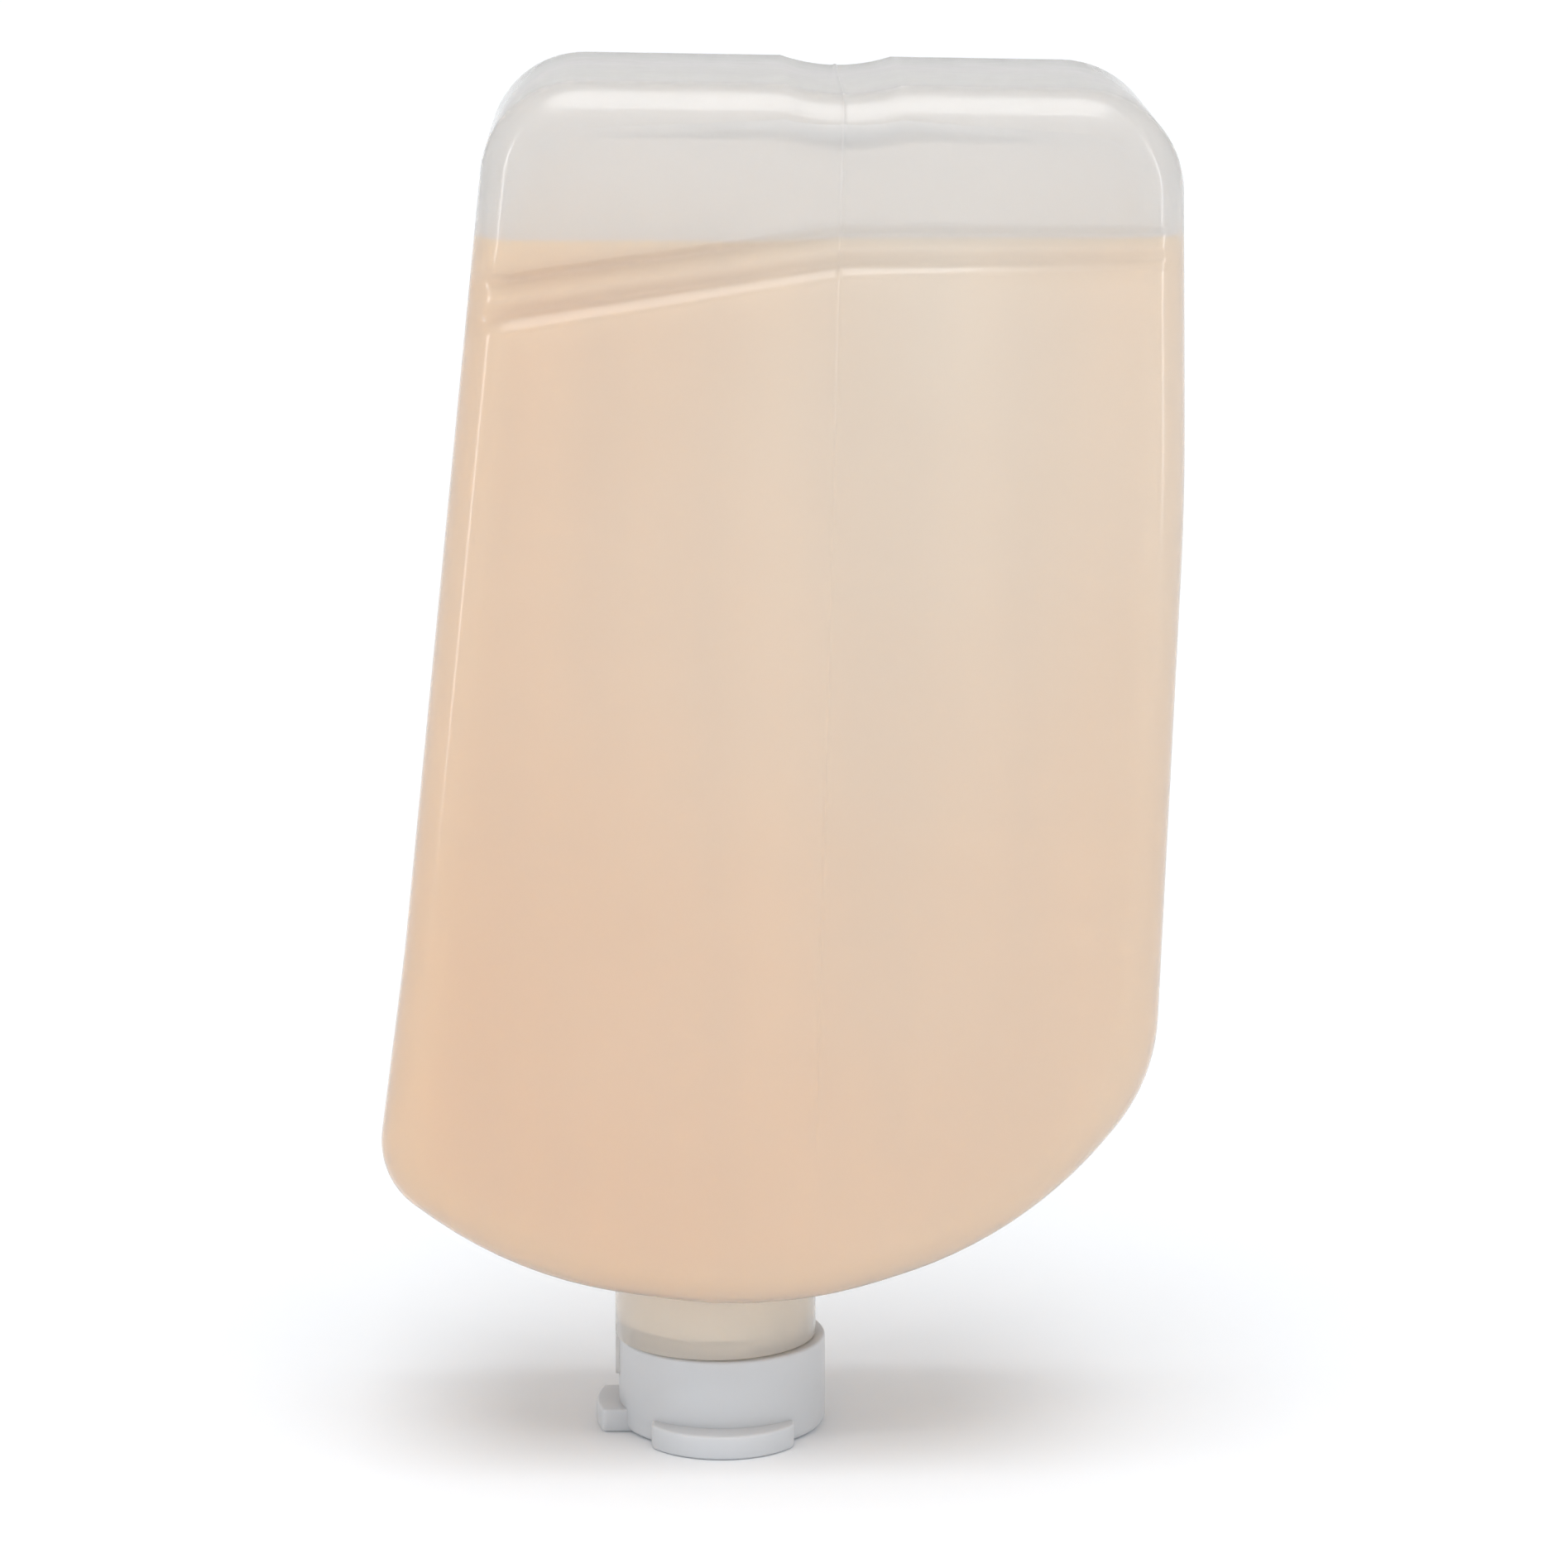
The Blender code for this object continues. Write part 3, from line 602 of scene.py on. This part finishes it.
soap = moulded(
    form("soap body", *body_form(WALL - SOAP_OVERLAP, INSIDE_DEPTH)), "soap_fill", SHARP_BLOWN,
    ("UNION", form("soap bore", *turned(neck_rings(WALL - SOAP_OVERLAP, LIP_Z, BODY_Z + 2 * EDGE_RADIUS)))))
work = bmesh.new()
work.from_mesh(soap.data)
level = (BODY_Z + SOAP_LEVEL) * MM
cut = bmesh.ops.bisect_plane(
    work, geom=work.verts[:] + work.edges[:] + work.faces[:], plane_co=(0, 0, level),
    plane_no=(0, 0, 1), clear_outer=True)
rim = [piece for piece in cut["geom_cut"] if isinstance(piece, bmesh.types.BMEdge)]
surface = bmesh.ops.contextual_create(work, geom=rim)["faces"]
bmesh.ops.inset_region(
    work, faces=surface, thickness=MENISCUS_WIDTH * MM, depth=-MENISCUS_DROP * MM, use_even_offset=True)
bmesh.ops.triangulate(work, faces=[face for face in work.faces if len(face.verts) > 4])
work.to_mesh(soap.data)
work.free()
soap.data.shade_smooth()
soap.data.set_sharp_from_angle(angle=radians(SHARP_LEVEL))

SOAP_DEEP, SOAP_PEARL, SOAP_PAINTED_HIGHLIGHT = (0.94, 0.53, 0.13), (0.95, 0.57, 0.19), (0.94, 0.77, 0.57)
# Painted light: the soap in the neck gets a brighter colour, which makes up for the shade that falls under
# the body.
SOAP_NECK_PAINTED_LIGHT = (0.99, 0.82, 0.60)
# Painted highlight: a soft spherical patch in the upper middle, a little right of centre, turns the soap
# paler there. It stands in for the light falling on the front face and is not a colour of the soap itself.
HIGHLIGHT_PATCH_PLACE, HIGHLIGHT_PATCH_SIZE = (0.030, 0.0, 0.172), (0.085, 10.0, 0.17)
HIGHLIGHT_PATCH_DRIFT = 0.07
NECK_LIGHT_FROM, NECK_LIGHT_TO = 0.0235, 0.027
SOAP_ROUGH_LOW, SOAP_ROUGH_HIGH = 0.20, 0.30
RIPPLE_HEIGHT = 0.00002
peach_soap, tree, shader = new_material("peach_soap")
marks = add_node(tree, "ShaderNodeGroup", (-900, 0), {
    "Cloud Scale": 16.0, "Streak Scale": 60.0, "Grain Scale": 700.0}, node_tree=moulding)
place = add_node(tree, "ShaderNodeTexCoord", (-1300, 600))
around = add_node(
    tree, "ShaderNodeMapping", (-1100, 600), {"Location": HIGHLIGHT_PATCH_PLACE, "Scale": HIGHLIGHT_PATCH_SIZE},
    vector_type="TEXTURE")
highlight_patch = add_node(tree, "ShaderNodeTexGradient", (-900, 600), gradient_type="SPHERICAL")
height = add_node(tree, "ShaderNodeSeparateXYZ", (-1100, 400))
tree.links.new(place.outputs["Object"], around.inputs["Vector"])
tree.links.new(around.outputs["Vector"], highlight_patch.inputs["Vector"])
tree.links.new(place.outputs["Object"], height.inputs["Vector"])
drift = add_node(tree, "ShaderNodeMath", (-500, 600), operation="ADD")
tree.links.new(highlight_patch.outputs["Fac"], drift.inputs[0])
tree.links.new(
    ranged(tree, marks.outputs["Cloud"], (-700, 450), -HIGHLIGHT_PATCH_DRIFT, HIGHLIGHT_PATCH_DRIFT), drift.inputs[1])
deep = blended(tree, marks.outputs["Cloud"], (-500, 300), SOAP_DEEP, SOAP_PEARL)
# Painted highlight: the soap turns to the pale colour towards the middle of that patch.
body = blended(tree, drift.outputs[0], (-300, 300), deep, SOAP_PAINTED_HIGHLIGHT)
# Painted light: below the body the soap takes the brighter neck colour.
neck_light_share = ranged(tree, height.outputs["Z"], (-500, 400), 1.0, 0.0, NECK_LIGHT_FROM, NECK_LIGHT_TO)
tree.links.new(blended(tree, neck_light_share, (-150, 300), body, SOAP_NECK_PAINTED_LIGHT), shader.inputs["Base Color"])
tree.links.new(
    ranged(tree, marks.outputs["Streak"], (-500, 50), SOAP_ROUGH_LOW, SOAP_ROUGH_HIGH),
    shader.inputs["Roughness"])
ripple = add_node(tree, "ShaderNodeBump", (-500, -300), {"Strength": 1.0, "Distance": RIPPLE_HEIGHT})
tree.links.new(marks.outputs["Cloud"], ripple.inputs["Height"])
tree.links.new(ripple.outputs["Normal"], shader.inputs["Normal"])

soap.data.materials.append(peach_soap)
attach(soap, "root")
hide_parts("soap")


# Closure: a cap of translucent polypropylene, injection moulded, snapped over the neck's finish. It
# has an outlet in its end face, a slot for the neck's key and three bayonet lugs at its foot.
CAP_EDGE_RADIUS = 1.3
CAP_RIM_RADIUS = 0.4
OUTLET_RADIUS = 6.5
OUTLET_CHAMFER = 0.35
KEY_GAP, KEY_SLOT_INSIDE = 0.3, 1.0
LUG_HEIGHT, LUG_SINK, LUG_EDGE_RADIUS = 3.6, 0.8, 0.45
LUGS = (
    ("front lug", -90.0, 10.4, 4.0, 12.2),
    ("rear lug", 90.0, 10.4, 4.0, 12.2),
    ("side lug", 180.0, 6.0, 3.3, 18.6),
)
LUG_STEPS = 24
ROUND_STEPS = 5
SHARP_MOULDED = 30


def quarter(centre_x, centre_z, radius, first, last):
    """Points of a rounded corner of a section, between two angles in degrees."""
    made = []
    for i in range(ROUND_STEPS + 1):
        angle = radians(first + (last - first) * i / ROUND_STEPS)
        made.append((centre_x + radius * cos(angle), centre_z + radius * sin(angle)))
    return made


def turned_ring(section):
    """A closed ring turned from a closed section of radius and z."""
    count = len(section)
    points, faces = [], []
    for k in range(TURN_STEPS):
        angle = 2 * pi * k / TURN_STEPS
        points += [(radius * cos(angle), radius * sin(angle), z) for radius, z in section]
    for k in range(TURN_STEPS):
        here, there = k * count, (k + 1) % TURN_STEPS * count
        for i in range(count):
            n = (i + 1) % count
            faces.append((here + i, here + n, there + n, there + i))
    return points, faces


def lug_form(azimuth, half_width, reach, bow_radius):
    """A lug with parallel ends and a bowed outer face, all its outer edges rounded over."""
    r = LUG_EDGE_RADIUS
    root = CAP_RADIUS - LUG_SINK
    out = Vector((cos(radians(azimuth)), sin(radians(azimuth))))
    along = Vector((-out.y, out.x))
    flat = half_width - r
    corner = [pi / 2 * i / ROUND_STEPS for i in range(ROUND_STEPS + 1)]
    ends = [(flat + r * sin(turn), r * (1 - cos(turn))) for turn in corner]
    middle = [(flat * (2 * i / LUG_STEPS - 1), 0.0) for i in range(1, LUG_STEPS)]
    turns = [(-offset, inset) for offset, inset in reversed(ends)] + middle + ends
    points, faces = [], []
    for offset, inset in turns:
        near = sqrt(root ** 2 - offset ** 2)
        far = CAP_RADIUS + reach - SKIN - inset - bow_radius + sqrt(bow_radius ** 2 - offset ** 2)
        section = [(near, SKIN + inset)]
        section += quarter(far - r, SKIN + inset + r, r, -90, 0)
        section += quarter(far - r, LUG_HEIGHT - inset - r, r, 0, 90)
        section.append((near, LUG_HEIGHT - inset))
        for distance, z in section:
            spot = out * distance + along * offset
            points.append((spot.x, spot.y, z))
    count = len(section)
    for k in range(len(turns) - 1):
        for i in range(count):
            n = (i + 1) % count
            faces.append((k * count + i, k * count + n, (k + 1) * count + n, (k + 1) * count + i))
    faces.append(tuple(range(count)))
    faces.append(tuple(range((len(turns) - 1) * count, len(turns) * count)))
    return points, faces


skirt = CAP_RADIUS - SKIN
cap_section = [(OUTLET_RADIUS + OUTLET_CHAMFER, SKIN)]
cap_section += quarter(skirt - CAP_EDGE_RADIUS, CAP_EDGE_RADIUS + SKIN, CAP_EDGE_RADIUS, -90, 0)
cap_section += quarter(skirt - CAP_RIM_RADIUS, CAP_HEIGHT - SKIN - CAP_RIM_RADIUS, CAP_RIM_RADIUS, 0, 90)
cap_section += [
    (CAP_INNER_RADIUS, CAP_HEIGHT - SKIN), (CAP_INNER_RADIUS, CAP_END_WALL),
    (OUTLET_RADIUS, CAP_END_WALL), (OUTLET_RADIUS, SKIN + OUTLET_CHAMFER),
]
steps = [("UNION", form(name, *lug_form(*sizes))) for name, *sizes in LUGS]
steps.append(("DIFFERENCE", form("key slot", *block(
    (-CAP_RADIUS - CUT_OVERRUN, -KEY_WIDTH / 2 - KEY_GAP, COLLAR_Z - KEY_LENGTH - KEY_GAP),
    (-CAP_INNER_RADIUS + KEY_SLOT_INSIDE, KEY_WIDTH / 2 + KEY_GAP, CAP_HEIGHT + CUT_OVERRUN)))))
closure = moulded(form("cap", *turned_ring(cap_section)), "closure", SHARP_MOULDED, *steps)

CAP_COOL, CAP_GREY = (0.63, 0.65, 0.68), (0.60, 0.605, 0.615)
CAP_ROUGH_LOW, CAP_ROUGH_HIGH = 0.28, 0.40
CAP_GRAIN_HEIGHT = 0.000008
CAP_GLOW, CAP_GLOW_REACH = 0.4, 0.003
translucent_pp, tree, shader = new_material("translucent_pp")
marks = add_node(tree, "ShaderNodeGroup", (-900, 0), {
    "Cloud Scale": 70.0, "Streak Scale": 420.0, "Grain Scale": 2200.0}, node_tree=moulding)
tree.links.new(
    blended(tree, marks.outputs["Cloud"], (-500, 300), CAP_COOL, CAP_GREY), shader.inputs["Base Color"])
tree.links.new(
    ranged(tree, marks.outputs["Cloud"], (-500, 50), CAP_ROUGH_LOW, CAP_ROUGH_HIGH),
    shader.inputs["Roughness"])
skin = add_node(tree, "ShaderNodeBump", (-250, -300), {"Strength": 1.0, "Distance": CAP_GRAIN_HEIGHT})
tree.links.new(marks.outputs["Grain"], skin.inputs["Height"])
tree.links.new(skin.outputs["Normal"], shader.inputs["Normal"])
shader.inputs["Subsurface Weight"].default_value = CAP_GLOW
shader.inputs["Subsurface Radius"].default_value = (CAP_GLOW_REACH, CAP_GLOW_REACH, CAP_GLOW_REACH)
shader.inputs["Subsurface Scale"].default_value = 1.0

closure.data.materials.append(translucent_pp)
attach(closure, "root")
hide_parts("closure_cap")


# Outlet membrane: a soft silicone disc, pinched between the neck's lip and the closure's end wall.
# Its boss fills the outlet and is cut across, so that it opens under the dispenser's pin.
MEMBRANE_Z, MEMBRANE_THICKNESS = 1.9, 1.0
BOSS_CHAMFER, MEMBRANE_GAP = 0.3, 0.3
SLIT_LENGTH, SLIT_WIDTH, SLIT_START, SLIT_DEPTH = 8.4, 0.18, -1.0, 1.2

boss = OUTLET_RADIUS - MEMBRANE_GAP
rim_radius = CAP_INNER_RADIUS - MEMBRANE_GAP
disc = form("disc", *turned([
    (0.0, boss - BOSS_CHAMFER, SKIN), (0.0, boss, BOSS_CHAMFER + SKIN), (0.0, boss, MEMBRANE_Z),
    (0.0, rim_radius, MEMBRANE_Z), (0.0, rim_radius, MEMBRANE_Z + MEMBRANE_THICKNESS),
]))
slits = [
    (SLIT_LENGTH / 2, SLIT_WIDTH / 2), (SLIT_WIDTH / 2, SLIT_LENGTH / 2),
]
membrane = moulded(disc, "membrane", SHARP_MOULDED, *[
    ("DIFFERENCE", form(f"slit {i}", *block((-x, -y, SLIT_START), (x, y, SLIT_DEPTH))))
    for i, (x, y) in enumerate(slits)
])

SILICONE_PALE, SILICONE_DULL = (0.72, 0.73, 0.74), (0.66, 0.67, 0.68)
SILICONE_ROUGH_LOW, SILICONE_ROUGH_HIGH = 0.45, 0.58
SILICONE_GRAIN_HEIGHT = 0.00001
silicone, tree, shader = new_material("silicone")
marks = add_node(tree, "ShaderNodeGroup", (-900, 0), {
    "Cloud Scale": 90.0, "Streak Scale": 400.0, "Grain Scale": 1800.0}, node_tree=moulding)
tree.links.new(
    blended(tree, marks.outputs["Cloud"], (-500, 300), SILICONE_PALE, SILICONE_DULL),
    shader.inputs["Base Color"])
tree.links.new(
    ranged(tree, marks.outputs["Cloud"], (-500, 50), SILICONE_ROUGH_LOW, SILICONE_ROUGH_HIGH),
    shader.inputs["Roughness"])
skin = add_node(tree, "ShaderNodeBump", (-250, -300), {"Strength": 1.0, "Distance": SILICONE_GRAIN_HEIGHT})
tree.links.new(marks.outputs["Grain"], skin.inputs["Height"])
tree.links.new(skin.outputs["Normal"], shader.inputs["Normal"])

membrane.data.materials.append(silicone)
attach(membrane, "root")
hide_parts("outlet_membrane")


# Studio: a plain pale floor that fills the picture, a wide soft light from above that lays the
# shadow under the pack, narrow strips for the light lines along its edges, and a white surround.
FLOOR_HALF = 8.0
FLOOR_COLOUR, FLOOR_ROUGH = (0.91, 0.935, 0.965, 1.0), 0.8
floor_mesh = bpy.data.meshes.new("floor")
floor_mesh.from_pydata(
    [(-FLOOR_HALF, -FLOOR_HALF, 0), (FLOOR_HALF, -FLOOR_HALF, 0),
     (FLOOR_HALF, FLOOR_HALF, 0), (-FLOOR_HALF, FLOOR_HALF, 0)], [], [(0, 1, 2, 3)])
floor = bpy.data.objects.new("floor", floor_mesh)
scene.collection.objects.link(floor)
floor_paint, tree, shader = new_material("floor")
shader.inputs["Base Color"].default_value = FLOOR_COLOUR
shader.inputs["Roughness"].default_value = FLOOR_ROUGH
floor_mesh.materials.append(floor_paint)

STRIPS = (
    ("left strip", (-0.62, -0.50, 0.20), (0.035, 0.80), 0.13),
    ("right strip", (0.66, -0.48, 0.20), (0.035, 0.80), 0.13),
    ("top strip", (0.02, -0.52, 0.78), (0.70, 0.035), 0.055),
    ("front fill", (0.04, -1.00, 0.16), (0.80, 0.25), 0.015),
)
TARGET = Vector((0.008, 0.0, 0.11))
STRIP_SPREAD = 60
OVERHEAD_STRENGTH, OVERHEAD_ANGLE, OVERHEAD_TILT = 1.35, 50, 12
SURROUND = 0.72
for name, place, size, power in STRIPS:
    lamp = bpy.data.lights.new(name, "AREA")
    lamp.shape = "RECTANGLE"
    lamp.size, lamp.size_y = size
    lamp.energy = power
    lamp.spread = radians(STRIP_SPREAD)
    holder = bpy.data.objects.new(name, lamp)
    holder.location = place
    holder.rotation_euler = (TARGET - Vector(place)).to_track_quat("-Z", "Y").to_euler()
    scene.collection.objects.link(holder)
overhead = bpy.data.lights.new("overhead", "SUN")
overhead.energy = OVERHEAD_STRENGTH
overhead.angle = radians(OVERHEAD_ANGLE)
holder = bpy.data.objects.new("overhead", overhead)
holder.rotation_euler = (radians(OVERHEAD_TILT), 0, 0)
scene.collection.objects.link(holder)
world = bpy.data.worlds.new("surround")
world.use_nodes = True
world.node_tree.nodes["Background"].inputs["Color"].default_value = (1.0, 1.0, 1.0, 1.0)
world.node_tree.nodes["Background"].inputs["Strength"].default_value = SURROUND
scene.world = world
scene.view_settings.view_transform = "Standard"
